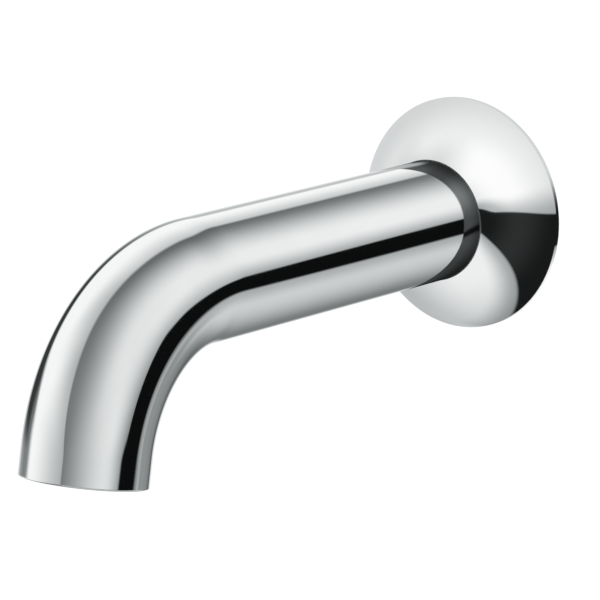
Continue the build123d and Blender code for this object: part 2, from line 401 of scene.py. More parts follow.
def flange_section(sizes, tube_radius):
    """The flange's section as (radius, reach), from the lip over the dome to the grooved hub and the hollow.

    The dome is an arc about a centre on the axis behind the wall, placed so that it meets both the
    lip's edge and the crown. Each rounding is an arc that touches the dome and a straight wall.
    """
    rim = sizes.diameter / 2
    rise = sizes.crown - sizes.lip
    depth = (rim**2 - tube_radius**2 + sizes.lip**2 - sizes.crown**2) / (2 * rise)
    dome = math.hypot(rim, sizes.lip + depth)
    bore = tube_radius + sizes.clearance
    hub = bore + sizes.hub_wall
    rim_inside = rim - sizes.sheet
    inside = dome - sizes.sheet

    def touching(rounding, radius):
        """Centre of a rounding on that radius and the angle at which it touches the dome."""
        height = math.sqrt((dome - rounding) ** 2 - radius**2)
        return (radius, height - depth), math.atan2(height, radius)

    edge_centre, edge_turn = touching(sizes.edge_round, rim - sizes.edge_round)
    crown_centre, crown_turn = touching(sizes.crown_round, bore + sizes.crown_round)
    ease = SUPPORT / dome
    groove_start = sizes.hub_reach + sizes.seal_land
    groove_end = groove_start + sizes.seal_width
    groove = bore + sizes.seal_depth
    hub_turn = math.acos(hub / inside)
    rim_turn = math.acos(rim_inside / inside)
    return joined_rows(
        (rim_inside, 0),
        (rim, 0),
        arc_rows(edge_centre, sizes.edge_round, 0, edge_turn, ROUND_STEPS),
        arc_rows((0, -depth), dome, edge_turn + ease, crown_turn - ease, DOME_STEPS),
        arc_rows(crown_centre, sizes.crown_round, crown_turn, FULL_TURN / 2, ROUND_STEPS),
        (bore, groove_end),
        (groove, groove_end),
        (groove, groove_start),
        (bore, groove_start),
        (bore, sizes.hub_reach),
        (hub, sizes.hub_reach),
        arc_rows((0, -depth), inside, hub_turn, rim_turn, DOME_STEPS // 2),
    )


SPIGOT_COLUMNS = 144
THREAD_STEPS = 22
THREAD_ROUNDNESS = 0.5
HEXAGON_SIDES = 6


def smooth_step(value, start, end):
    """Nought before start, one after end, and a smooth cubic rise between them."""
    part = np.clip((value - start) / (end - start), 0, 1)
    return part * part * (3 - 2 * part)


def thread_share(sizes, reach, turn):
    """How deep the thread is cut, from 0 at a crest to 1 at a root.

    A rounded zigzag of the phase, which is reach over pitch less the share of a turn, so that the
    crest winds once round for each pitch; it fades out towards the shoulder.
    """
    phase = reach / sizes.thread_pitch - turn / FULL_TURN
    zigzag = np.arcsin(THREAD_ROUNDNESS * np.cos(FULL_TURN * phase)) / math.asin(THREAD_ROUNDNESS)
    fade = smooth_step(-reach, 0, sizes.thread_runout)
    return (0.5 - 0.5 * zigzag) * fade


def spigot_surface(sizes):
    """The spigot's whole skin, as rings from the tail's end to the front and back through the key socket.

    The threaded rows take their radius from the thread, cut off by the tail's chamfer. The socket's
    rows are a hexagon: half its width over the cosine of the angle from the middle of the nearest flat.
    The last row lies just inside the first and keeps the tail's end face flat.
    """
    turn = ring_turns(SPIGOT_COLUMNS)
    tail = sizes.tail_diameter / 2
    rows = int(round(sizes.tail_length / sizes.thread_pitch * THREAD_STEPS))
    reach = between(-sizes.tail_length, 0, rows)[:, None]
    cut = thread_share(sizes, reach, turn)
    chamfer = tail - sizes.tail_chamfer + reach + sizes.tail_length
    thread = np.minimum(tail - sizes.thread_depth * cut, chamfer)

    half_seal = sizes.seal_width / 2
    second = sizes.seal_first + sizes.seal_spacing
    grooves = [
        (sizes.seal_first, half_seal, sizes.seal_depth),
        (second, half_seal, sizes.seal_depth),
        (sizes.lock_reach, sizes.lock_width / 2, sizes.lock_depth),
    ]
    body = sizes.body_radius
    front = [(tail, sizes.shoulder_reach), (body, sizes.shoulder_reach)]
    for middle, half, depth in grooves:
        front += [(body, middle - half), (body - depth, middle - half)]
        front += [(body - depth, middle + half), (body, middle + half)]
    front += [(body, sizes.end_reach - sizes.end_chamfer), (body - sizes.end_chamfer, sizes.end_reach)]
    front_radius, front_reach = np.array(front).T[:, :, None]

    side = FULL_TURN / HEXAGON_SIDES
    socket = sizes.key_size / 2 / np.cos(np.mod(turn, side) - side / 2)
    socket_floor = sizes.end_reach - sizes.key_depth
    bore = np.full(turn.shape, sizes.waterway / 2)
    radius = np.concatenate([
        thread,
        np.broadcast_to(front_radius, (len(front), SPIGOT_COLUMNS)),
        np.stack([socket, socket, bore, bore, thread[0] - SUPPORT]),
    ])
    back = [sizes.end_reach, socket_floor, socket_floor, -sizes.tail_length, -sizes.tail_length]
    all_reach = np.concatenate([reach, front_reach, np.array(back)[:, None]])
    points = turned_points(radius, all_reach, turn)
    index = np.arange(radius.size).reshape(radius.shape)
    # The cut share goes with the piece as its groove mark, which the brass uses to paint shade into the
    # thread's roots.
    groove = np.zeros(radius.shape)
    groove[: len(cut)] = cut
    return points, ring_faces(index), {"groove": groove}


# Shader trees


class Term:
    """A number worked out by shader nodes; adding, taking away, multiplying and dividing add Math nodes."""

    def __init__(self, tree, socket):
        self.tree = tree
        self.socket = socket

    def math(self, operation, *values):
        """One Math node with these values as its inputs."""
        node = self.tree.nodes.new("ShaderNodeMath")
        node.operation = operation
        for socket, value in zip(node.inputs, values):
            feed(self.tree, socket, value)
        return Term(self.tree, node.outputs[0])

    def __add__(self, other):
        return self.math("ADD", self, other)

    def __radd__(self, other):
        return self.math("ADD", other, self)

    def __sub__(self, other):
        return self.math("SUBTRACT", self, other)

    def __rsub__(self, other):
        return self.math("SUBTRACT", other, self)

    def __mul__(self, other):
        return self.math("MULTIPLY", self, other)

    def __rmul__(self, other):
        return self.math("MULTIPLY", other, self)

    def __truediv__(self, other):
        return self.math("DIVIDE", self, other)

    def rise(self, start, end, low=0.0, high=1.0):
        """A smooth step from low to high as this goes from start to end."""
        node = self.tree.nodes.new("ShaderNodeMapRange")
        node.interpolation_type = "SMOOTHSTEP"
        inputs = {"Value": self, "From Min": start, "From Max": end, "To Min": low, "To Max": high}
        for name, value in inputs.items():
            feed(self.tree, node.inputs[name], value)
        return Term(self.tree, node.outputs["Result"])

    def course(self, stops):
        """A curve of this through (place, value) stops: level outside them, with smooth steps between."""
        value = stops[0][1]
        for (start, low), (end, high) in zip(stops, stops[1:]):
            value = self.rise(start, end, 0, high - low) + value
        return value

    def mixed(self, other, part):
        """This where part is 0, and other where part is 1."""
        return self + (other - self) * part


def feed(tree, socket, value):
    """Joins a term or an output to a socket, or sets a plain value on it."""
    if isinstance(value, Term):
        value = value.socket
    if isinstance(value, bpy.types.NodeSocket):
        tree.links.new(value, socket)
    else:
        socket.default_value = value


def add_node(tree, kind, inputs=None, **settings):
    """One node with its settings, and its inputs joined or set by name."""
    node = tree.nodes.new(kind)
    for name, value in settings.items():
        setattr(node, name, value)
    for name, value in (inputs or {}).items():
        feed(tree, node.inputs[name], value)
    return node


def effect_group(name, inputs, outputs):
    """A node group with float or vector inputs and float outputs, built once and shared by materials."""
    tree = bpy.data.node_groups.new(name, "ShaderNodeTree")
    for label, kind in inputs.items():
        tree.interface.new_socket(label, in_out="INPUT", socket_type=kind)
    for label in outputs:
        tree.interface.new_socket(label, in_out="OUTPUT", socket_type="NodeSocketFloat")
    start = tree.nodes.new("NodeGroupInput")
    end = tree.nodes.new("NodeGroupOutput")
    return tree, start.outputs, end.inputs


PATCH_DETAIL, PATCH_ROUGHNESS = 4.0, 0.6
PATCH_EDGE = 0.35, 0.7
GRAIN_DETAIL, GRAIN_ROUGHNESS = 3.0, 0.5
MARK_DETAIL = 3.0
MARK_EDGE = 0.3, 0.7


def noise(tree, vector, scale, detail, roughness):
    """A noise texture's value."""
    inputs = {"Vector": vector, "Scale": scale, "Detail": detail, "Roughness": roughness}
    return Term(tree, add_node(tree, "ShaderNodeTexNoise", inputs).outputs[0])


def mottle_group():
    """Uneven patches: a coarse noise, sharpened, gives the mask, and a fine noise gives the height."""
    found = bpy.data.node_groups.get("uneven_patches")
    if found:
        return found
    inputs = {
        "Vector": "NodeSocketVector",
        "Patch Scale": "NodeSocketFloat",
        "Grain Scale": "NodeSocketFloat",
    }
    tree, start, end = effect_group("uneven_patches", inputs, ("Mask", "Height"))
    patches = noise(tree, start["Vector"], start["Patch Scale"], PATCH_DETAIL, PATCH_ROUGHNESS)
    grain = noise(tree, start["Vector"], start["Grain Scale"], GRAIN_DETAIL, GRAIN_ROUGHNESS)
    feed(tree, end["Mask"], patches.rise(*PATCH_EDGE))
    feed(tree, end["Height"], grain)
    return tree


def lathe_group():
    """Turning marks round the Y axis: a noise of the radius plus the place along the axis."""
    found = bpy.data.node_groups.get("turning_marks")
    if found:
        return found
    inputs = {"Vector": "NodeSocketVector", "Marks per Metre": "NodeSocketFloat"}
    tree, start, end = effect_group("turning_marks", inputs, ("Mask", "Height"))
    parts = add_node(tree, "ShaderNodeSeparateXYZ", {"Vector": start["Vector"]}).outputs
    x, y, z = (Term(tree, parts[name]) for name in "XYZ")
    radius = x.math("SQRT", x * x + z * z)
    wave = {"W": radius + y, "Scale": start["Marks per Metre"], "Detail": MARK_DETAIL}
    marks = add_node(tree, "ShaderNodeTexNoise", wave, noise_dimensions="1D")
    height = Term(tree, marks.outputs[0])
    feed(tree, end["Height"], height)
    feed(tree, end["Mask"], height.rise(*MARK_EDGE))
    return tree


def new_finish(name):
    """A material with an empty tree, its shader and the object's own coordinates."""
    material = bpy.data.materials.new(name)
    material.use_nodes = True
    tree = material.node_tree
    tree.nodes.clear()
    shader = tree.nodes.new("ShaderNodeBsdfPrincipled")
    output = tree.nodes.new("ShaderNodeOutputMaterial")
    tree.links.new(shader.outputs["BSDF"], output.inputs["Surface"])
    place = tree.nodes.new("ShaderNodeTexCoord").outputs["Object"]
    return material, tree, shader.inputs, place


MIX_PART, MIX_FIRST, MIX_SECOND, MIX_RESULT = 0, 6, 7, 2  # sockets of a Mix node that blends colours


def blend_colour(tree, part, first, second):
    """The first colour where part is 0 and the second where it is 1."""
    node = tree.nodes.new("ShaderNodeMix")
    node.data_type = "RGBA"
    node.clamp_factor = False
    for socket, value in ((MIX_PART, part), (MIX_FIRST, first), (MIX_SECOND, second)):
        if not isinstance(value, (Term, bpy.types.NodeSocket)):
            value = (*value, 1.0)
        feed(tree, node.inputs[socket], value)
    return node.outputs[MIX_RESULT]


def use_group(tree, group, place, scales):
    """Puts a shared effect at a place, with its scales by name, and gives its outputs as terms."""
    node = tree.nodes.new("ShaderNodeGroup")
    node.node_tree = group
    for name, value in {"Vector": place, **scales}.items():
        feed(tree, node.inputs[name], value)
    return {output.name: Term(tree, output) for output in node.outputs}


def bump(tree, height, distance):
    """The normal of a surface that stands out by that height times the distance in metres."""
    inputs = {"Height": height, "Distance": distance, "Strength": 1.0}
    return add_node(tree, "ShaderNodeBump", inputs).outputs["Normal"]


def made_once(name, make, *values):
    """The finish of that name, made where it is first asked for; the frame brings none of these names."""
    return bpy.data.materials.get(name) or make(name, *values)


CHROME_SCALES = {"Patch Scale": 60.0, "Grain Scale": 350.0}
CHROME_WORN = 0.985
CHROME_LEAST, CHROME_MOST = 0.8, 1.2
CHROME_WAVE = 0.0000006
BARE_ROUGHNESS = 0.35


def chrome_finish(name, finishes):
    """Polished chrome: faint uneven patches in the polish, a slight waviness, bare brass inside the tube."""
    material, tree, shader, place = new_finish(name)
    patches = use_group(tree, mottle_group(), place, CHROME_SCALES)
    inside = Term(tree, add_node(tree, "ShaderNodeAttribute", attribute_name="inside").outputs["Fac"])
    worn = tuple(CHROME_WORN * part for part in finishes.chrome)
    plating = blend_colour(tree, patches["Mask"], finishes.chrome, worn)
    feed(tree, shader["Base Color"], blend_colour(tree, inside, plating, finishes.brass))
    polish = finishes.chrome_roughness
    plate = patches["Mask"].rise(0, 1, CHROME_LEAST * polish, CHROME_MOST * polish)
    feed(tree, shader["Roughness"], plate.mixed(BARE_ROUGHNESS, inside))
    shader["Metallic"].default_value = 1.0
    feed(tree, shader["Normal"], bump(tree, patches["Height"], CHROME_WAVE))
    return material


BRASS_MARKS = {"Marks per Metre": 6000.0}
BRASS_SCALES = {"Patch Scale": 90.0, "Grain Scale": 900.0}
# The last weight darkens the thread's roots by their depth: painted shade in the grooves.
BRASS_TARNISH, BRASS_MARK_SHADE, BRASS_ROOT_PAINTED_SHADE = 0.25, 0.12, 0.65
BRASS_ROUGHNESS, BRASS_PATCH_ROUGHNESS, BRASS_MARK_ROUGHNESS = 0.22, 0.12, 0.06
BRASS_MARK_DEPTH = 0.000006


def brass_finish(name, finishes, centre=(0, 0, 0), tilt=0.0):
    """Turned brass: turning marks about the piece's own axis, uneven tarnish, and painted shade in the
    thread's roots.
    """
    material, tree, shader, place = new_finish(name)
    axis = {"Vector": place, "Location": centre, "Rotation": (tilt, 0, 0)}
    mapping = add_node(tree, "ShaderNodeMapping", axis, vector_type="TEXTURE")
    marks = use_group(tree, lathe_group(), mapping.outputs[0], BRASS_MARKS)
    patches = use_group(tree, mottle_group(), place, BRASS_SCALES)
    groove = Term(tree, add_node(tree, "ShaderNodeAttribute", attribute_name="groove").outputs["Fac"])
    # Tarnish and turning marks darken the brass in patches and lines; the groove mark adds painted shade in
    # the thread's roots.
    shade = BRASS_TARNISH * patches["Mask"] + BRASS_MARK_SHADE * marks["Mask"] + BRASS_ROOT_PAINTED_SHADE * groove
    feed(tree, shader["Base Color"], blend_colour(tree, shade, finishes.brass, finishes.brass_tarnish_and_painted_shade))
    rough = BRASS_ROUGHNESS + BRASS_PATCH_ROUGHNESS * patches["Mask"]
    feed(tree, shader["Roughness"], rough + BRASS_MARK_ROUGHNESS * marks["Mask"])
    shader["Metallic"].default_value = 1.0
    feed(tree, shader["Normal"], bump(tree, marks["Height"], BRASS_MARK_DEPTH))
    return material


def patchy_finish(name, colours, scales, roughness, grain, metallic=0.0):
    """A plain finish: patches blend two colours and add to the roughness, over a fine grain."""
    material, tree, shader, place = new_finish(name)
    patches = use_group(tree, mottle_group(), place, scales)
    feed(tree, shader["Base Color"], blend_colour(tree, patches["Mask"], *colours))
    least, more = roughness
    feed(tree, shader["Roughness"], least + more * patches["Mask"])
    shader["Metallic"].default_value = metallic
    feed(tree, shader["Normal"], bump(tree, patches["Height"], grain))
    return material


STEEL_SCALES = {"Patch Scale": 500.0, "Grain Scale": 2500.0}
STEEL_ROUGHNESS = 0.28, 0.15
STEEL_GRAIN = 0.00001


def steel_finish(name, finishes):
    """Plain screw steel, which oil darkens in patches."""
    colours = finishes.steel, finishes.steel_shade
    return patchy_finish(name, colours, STEEL_SCALES, STEEL_ROUGHNESS, STEEL_GRAIN, metallic=1.0)


RUBBER_SCALES = {"Patch Scale": 220.0, "Grain Scale": 3000.0}
RUBBER_ROUGHNESS = 0.5, 0.15
RUBBER_GRAIN = 0.00002


def rubber_finish(name, finishes):
    """Black sealing rubber, with a pale bloom in patches."""
    colours = finishes.rubber, finishes.rubber_bloom
    return patchy_finish(name, colours, RUBBER_SCALES, RUBBER_ROUGHNESS, RUBBER_GRAIN)


PLASTIC_SCALES = {"Patch Scale": 180.0, "Grain Scale": 2600.0}
PLASTIC_ROUGHNESS = 0.38, 0.14
PLASTIC_GRAIN = 0.00002


def plastic_finish(name, finishes):
    """Moulded grey plastic, slightly shaded in patches."""
    colours = finishes.plastic, finishes.plastic_shade
    return patchy_finish(name, colours, PLASTIC_SCALES, PLASTIC_ROUGHNESS, PLASTIC_GRAIN)


FOAM_CELLS = 1400.0
FOAM_CELL_EDGE = 0.1, 0.6
FOAM_CELL_DEPTH = 0.00015
FOAM_SCALES = {"Patch Scale": 150.0, "Grain Scale": 1800.0}
FOAM_PALER = 1.5
FOAM_ROUGHNESS, FOAM_PATCH_ROUGHNESS = 0.75, 0.15


def foam_finish(name, finishes):
    """Closed-cell foam: small round cells, sunk into the surface, with painted shade at their mouths."""
    material, tree, shader, place = new_finish(name)
    cells = add_node(tree, "ShaderNodeTexVoronoi", {"Vector": place, "Scale": FOAM_CELLS}, feature="F1")
    wall = Term(tree, cells.outputs["Distance"]).rise(*FOAM_CELL_EDGE)
    patches = use_group(tree, mottle_group(), place, FOAM_SCALES)
    paler = tuple(FOAM_PALER * part for part in finishes.foam)
    skin = blend_colour(tree, patches["Mask"], finishes.foam, paler)
    # Inside each cell the colour turns to painted shade; only the walls between cells keep the foam's own
    # colour.
    feed(tree, shader["Base Color"], blend_colour(tree, wall, finishes.foam_cell_painted_shade, skin))
    feed(tree, shader["Roughness"], FOAM_ROUGHNESS + FOAM_PATCH_ROUGHNESS * patches["Mask"])
    feed(tree, shader["Normal"], bump(tree, wall, FOAM_CELL_DEPTH))
    return material


# Studio


def direction_angles(tree, way):
    """A direction's angles in degrees: about the spout's axis, from straight up towards +X, and along it."""
    parts = add_node(tree, "ShaderNodeSeparateXYZ", {"Vector": way}).outputs
    x, y, z = (Term(tree, parts[name]) for name in "XYZ")
    about = x.math("DEGREES", x.math("ARCTAN2", x, z))
    along = x.math("DEGREES", x.math("ARCSINE", y))
    return about, along


ROUND_ONCE = 360
COUNTED_ON = -115


def past_below(about):
    """The angle about the axis, counted on past straight down, so that it has no jump there."""
    return about + ROUND_ONCE * about.math("LESS_THAN", about, COUNTED_ON)


# Courses of the panels: stops of an angle along the axis and, there, an angle about it or a brightness.
WHITE_LIGHT = (-100, 0.41), (-20, 0.92)
WHITE_EDGE = (-35, -19.5), (28, -10), (35, -10), (55, -25.5)
WHITE_FADE_START = (-18, -66), (14, -48), (38, -48), (53, -62)
WHITE_FADE_WIDTH = 52
WHITE_FADE = (-80, 0.14), (-40, 0.48)
WHITE_SOFTNESS = 3
WHITE_AGAIN = (54, 220), (66, 209)
WHITE_AGAIN_WIDTH = 24
GAP_TOP = (-16, -85), (2, -80), (5, -80), (40, -68)
GAP_SOFTNESS = 4
GAP_FOOT = (10, -93), (20, -94), (46, -79)
GAP_FOOT_WIDTH = 14
GAP_FOOT_DEPTH = 0.3
GAP_DEPTH = (-19, 0), (-4, 0.83), (8, 0.96), (29, 0.96), (56, 0.39)


def white_panel(about, along):
    """The white panel on the left, as the tube mirrors it: fading to its upper edge, over a dark gap."""
    start = along.course(WHITE_FADE_START)
    faded = 1 - along.course(WHITE_FADE) * about.rise(start, start + WHITE_FADE_WIDTH)
    top, foot = along.course(GAP_TOP), along.course(GAP_FOOT)
    gap = about.rise(top + GAP_SOFTNESS, top - GAP_SOFTNESS)
    gap = gap * about.rise(foot - GAP_FOOT_WIDTH, foot, GAP_FOOT_DEPTH, 1)
    return along.course(WHITE_LIGHT) * faded * (1 - gap * along.course(GAP_DEPTH))


GREY_DARK = (-80, 0.19), (40, 0.125), (48, 0.125), (53, 0.165)
GREY_GROWTH = (-100, 0), (-8, 0.62), (28, 0.69)
GREY_WIDTH = (-60, 105), (12, 55), (28, 55), (44, 70)
GREY_FALL = (-12, 0), (26, 0.51), (47, 0.37), (53, 0.52)
GREY_FALL_FROM, GREY_FALL_TO = 55, 92
GREY_DUSK = (-25, 0), (0, 0.2)
GREY_DUSK_FROM, GREY_DUSK_TO = 85, 105


def grey_panel(about, along, edge):
    """The grey panel overhead, as the tube mirrors it: lighter away from its edge, and darker low down."""
    growing = ((about - edge) / along.course(GREY_WIDTH)).rise(0, 1) * along.course(GREY_GROWTH)
    falling = about.rise(GREY_FALL_FROM, GREY_FALL_TO) * along.course(GREY_FALL)
    dusk = about.rise(GREY_DUSK_FROM, GREY_DUSK_TO) * along.course(GREY_DUSK)
    return along.course(GREY_DARK) + growing - falling - dusk


PALE_START = (48, 0.28), (51, 0.42), (53, 0.42), (56, 0.28)
PALE_START_WIDTH = 5
PALE_LIGHT = (55, 0.62), (65, 0.255)
PALE_GROWTH_FROM = (52, 112), (62, 134)
PALE_GROWTH_TO = 141
PALE_FALL_FROM = (53, 138), (60, 154)
PALE_FALL_TO = (53, 217), (60, 226)
PALE_END = 0.31


def pale_panel(lower, along, edge):
    """The pale panel below, as the tube mirrors it: it grows lighter in two steps and then falls off."""
    start = along.course(PALE_START)
    light = start * lower.rise(edge, edge + PALE_START_WIDTH)
    more = along.course(PALE_LIGHT) - start
    light = light + more * lower.rise(along.course(PALE_GROWTH_FROM), PALE_GROWTH_TO)
    return light * lower.rise(along.course(PALE_FALL_FROM), along.course(PALE_FALL_TO), 1, PALE_END)


BLACK_TOP = (6, 100), (16, 96.5), (28, 81), (33, 81.5), (49, 87), (53, 84)
BLACK_TOP_SOFTNESS = 1.5
BLACK_FOOT = (43, 107.5), (48, 106), (52.5, 110.5)
BLACK_FOOT_SOFTNESS = 0.75
BLACK_LIGHT = 0.004


def tube_view(about, along):
    """How bright the studio is in a direction, as the tube mirrors it.

    Long panels lie along the spout: a white one on the left, a grey one overhead, a black one low on the
    right and a pale one below.
    """
    lower = past_below(about)
    edge, top, foot = along.course(WHITE_EDGE), along.course(BLACK_TOP), along.course(BLACK_FOOT)
    white = white_panel(about, along)
    overhead = about.rise(edge - WHITE_SOFTNESS, edge + WHITE_SOFTNESS)
    light = white.mixed(grey_panel(about, along, edge), overhead)
    light = light.mixed(BLACK_LIGHT, about.rise(top - BLACK_TOP_SOFTNESS, top + BLACK_TOP_SOFTNESS))
    below = lower.rise(foot - BLACK_FOOT_SOFTNESS, foot + BLACK_FOOT_SOFTNESS)
    light = light.mixed(pale_panel(lower, along, foot), below)
    again = along.course(WHITE_AGAIN)
    return light.mixed(white, lower.rise(again, again + WHITE_AGAIN_WIDTH))


SCREEN_LIGHT = (-40, 0.89), (25, 0.66)
SCREEN_FRONT = (-45, 1), (-20, 0)
SCREEN_FRONT_LIGHT = (-50, -0.2), (10, 0.09)
SCREEN_LEFT = (-80, 1), (-45, 0)
SCREEN_LEFT_SHADE = (-35, 0.27), (0, 0)
SCREEN_ENDS = (-95, 0.6), (-55, 1)
SCREEN_FADE_START = (-80, 42), (-45, 64)
SCREEN_FADE_WIDTH = 26
SCREEN_FADED = (-32, 0.52), (-14, 0.5)


def white_screen(about, along):
    """The white screen before the flange: brightest ahead, dimmer on the left, fading low on the right."""
    light = along.course(SCREEN_LIGHT) + along.course(SCREEN_FRONT) * about.course(SCREEN_FRONT_LIGHT)
    light = light - about.course(SCREEN_LEFT) * along.course(SCREEN_LEFT_SHADE)
    start = along.course(SCREEN_FADE_START)
    faded = about.rise(start, start + SCREEN_FADE_WIDTH, 1, along.course(SCREEN_FADED))
    return light * along.course(SCREEN_ENDS) * faded


CARD_TOP = (-80, 70), (-60, 85.5), (-5, 91), (42, 91), (50, 73)
CARD_TOP_SOFTNESS = (42, 1), (50, 21)
CARD_LIGHT = (-66, 0.01), (-40, 0.028), (-10, 0.01)
SWEEP_LIGHT = (-40, 0.86), (20, 0.62), (42, 0.62), (50, 0.9)
SWEEP_LEFT = (190, 1), (240, 0.78)
SWEEP_EDGE = 132.5
SWEEP_CURVE = 0.0072
SWEEP_CURVE_START = -70
SWEEP_TIP = (-85, 9), (-70, 0)
SWEEP_BACK = (20, 0), (45, 1)
SWEEP_BACK_EDGE = 128
SWEEP_STEP = (-1.5, 0), (2.5, 0.45)
SWEEP_GROWTH = (0, 0), (27, 0.55)
SWEEP_SOFTNESS = 2
SCREEN_AGAIN = (240, 0), (262, 1)


def flange_view(about, along):
    """How bright the studio is in a direction, as the flange mirrors it.

    It faces a white screen, a black card low on the right and the pale floor sweep below, whose edge is a
    parabola with a blunt tip: its angle about the axis grows with the square of the angle along it.
    """
    lower = past_below(about)
    screen = white_screen(about, along)
    top = along.course(CARD_TOP)
    ahead = along - SWEEP_CURVE_START
    edge = SWEEP_EDGE + SWEEP_CURVE * ahead * ahead + along.course(SWEEP_TIP)
    edge = edge.mixed(SWEEP_BACK_EDGE, along.course(SWEEP_BACK))
    past = lower - edge
    sweep = along.course(SWEEP_LIGHT) * lower.course(SWEEP_LEFT)
    sweep = sweep * (past.course(SWEEP_STEP) + past.course(SWEEP_GROWTH))
    soft = along.course(CARD_TOP_SOFTNESS)
    light = screen.mixed(along.course(CARD_LIGHT), about.rise(top - soft, top + soft))
    light = light.mixed(sweep, past.rise(-SWEEP_SOFTNESS, 0))
    return light.mixed(screen, lower.course(SCREEN_AGAIN))


RING_LIGHT = (-30, 0.11), (-12, 0.07), (0, 0.07), (43, 0.23), (90, 0.08), (120, 0.08), (170, 0.05)
RING_SHARE = (-16, 0.25), (24, 0.88)
GLINT_EDGE = (-10, -33), (45, -51)
GLINT_WIDTH = 14
GLINT_LIGHT = (-20, 0), (-4, 0.4)
LINE_SLANT = 0.28
LINE_DEPTH = (92, 0), (99, 0.92), (103, 0.92), (110, 0)
ROOM_LIGHT = (-50, 0.4), (-22, 0), (55, 0), (75, 0.4)


def mirrored_twice(about, along):
    """How bright the studio is where the tube and the flange mirror each other.

    It is dim, with a paler stretch on the right, a black line under that, and a glint at the upper left.
    """
    lower = past_below(about)
    light = lower.course(RING_LIGHT) * along.course(RING_SHARE)
    glint = along.course(GLINT_EDGE)
    light = light + lower.rise(glint, glint - GLINT_WIDTH) * along.course(GLINT_LIGHT)
    line = lower - LINE_SLANT * along
    return light * (1 - line.course(LINE_DEPTH)) + along.course(ROOM_LIGHT)


def shared_view(about, along):
    """How bright the studio is at least in a direction, for tube and flange alike."""
    return about.math("MINIMUM", tube_view(about, along), flange_view(about, along))


FITTING_LIGHT = (
    (-110, 0.28), (-30, 0.98), (20, 0.98), (100, 0.28), (110, 0.28), (170, 0.68), (190, 0.68), (250, 0.28)
)
FITTING_SHARE = (-60, 0.4), (20, 1), (40, 1), (85, 0.6)


def fitting_view(about, along):
    """How bright the studio is in a direction, as the brass and steel fittings mirror it.

    A broad soft light stands overhead and the pale floor lies below; it is dimmer on both sides.
    """
    return past_below(about).course(FITTING_LIGHT) * along.course(FITTING_SHARE)


MIRRORED_AGAIN = 1.2, 1.8  # how many times a ray has been mirrored: below these once, above them more


def make_world(studio):
    """What tube and flange both mirror, plain white for the camera and soft light for matt surfaces."""
    world = bpy.data.worlds.new("studio")
    world.use_nodes = True
    world.cycles.sampling_method = "NONE"
    tree = world.node_tree
    tree.nodes.clear()
    about, along = direction_angles(tree, tree.nodes.new("ShaderNodeTexCoord").outputs["Generated"])
    path = tree.nodes.new("ShaderNodeLightPath").outputs
    again = Term(tree, path["Glossy Depth"]).rise(*MIRRORED_AGAIN)
    shared = shared_view(about, along)
    bright = studio.mirrored_light * shared.mixed(mirrored_twice(about, along), again)
    matt = Term(tree, path["Is Diffuse Ray"])
    plain = matt.math("MAXIMUM", matt, Term(tree, path["Is Camera Ray"]))
    tint = blend_colour(tree, bright.math("MAXIMUM", bright, plain), studio.shade_tint, (1.0, 1.0, 1.0))
    light = bright.mixed(1.0, plain).mixed(studio.ambient, matt)
    shader = add_node(tree, "ShaderNodeBackground", {"Color": tint, "Strength": light})
    output = tree.nodes.new("ShaderNodeOutputWorld")
    tree.links.new(shader.outputs[0], output.inputs["Surface"])
    bpy.context.scene.world = world


LAMP_DISTANCE = 100.0
LAMP_POWER = math.pi


def make_panels(name, studio, receivers, centre, view, other):
    """A box of six lamp panels round a centre that light only the receivers.

    They add what those pieces mirror beyond the world's light: the view less the other, where it is more.
    """
    lamp = bpy.data.lights.new(name, "AREA")
    lamp.size = 2 * LAMP_DISTANCE
    lamp.energy = LAMP_POWER * lamp.size**2
    lamp.use_nodes = True
    tree = lamp.node_tree
    tree.nodes.clear()
    spot = tree.nodes.new("ShaderNodeNewGeometry").outputs["Position"]
    offset = add_node(tree, "ShaderNodeVectorMath", {0: spot, 1: centre}, operation="SUBTRACT").outputs[0]
    way = add_node(tree, "ShaderNodeVectorMath", {0: offset}, operation="NORMALIZE").outputs[0]
    about, along = direction_angles(tree, way)
    path = tree.nodes.new("ShaderNodeLightPath").outputs
    once = Term(tree, path["Glossy Depth"]).rise(*MIRRORED_AGAIN, 1.0, 0.0)
    seen, shared = view(about, along), other(about, along)
    more = about.math("MAXIMUM", seen - shared, 0)
    tint = blend_colour(tree, seen + shared, studio.shade_tint, (1.0, 1.0, 1.0))
    glow = studio.mirrored_light * more * once
    shader = add_node(tree, "ShaderNodeEmission", {"Color": tint, "Strength": glow})
    output = tree.nodes.new("ShaderNodeOutputLight")
    tree.links.new(shader.outputs[0], output.inputs["Surface"])
    lit = bpy.data.collections.new(name + "_receivers")
    for piece in receivers:
        lit.objects.link(piece)
    sides = [sign * axis for axis in np.eye(3) for sign in (1, -1)]
    for number, away in enumerate(sides):
        sideways = np.roll(np.abs(away), 1)
        panel = bpy.data.objects.new(f"{name}_{number}", lamp)
        bpy.context.scene.collection.objects.link(panel)
        panel.matrix_world = Matrix(np.stack([sideways, np.cross(away, sideways), away], axis=1)).to_4x4()
        panel.location = Vector(centre) + Vector(away) * LAMP_DISTANCE
        panel.visible_camera = False
        panel.visible_diffuse = False
        panel.light_linking.receiver_collection = lit


FLOOR_SCALES = {"Patch Scale": 3.0, "Grain Scale": 400.0}
FLOOR_WORN = 0.99
FLOOR_ROUGHNESS = 0.9


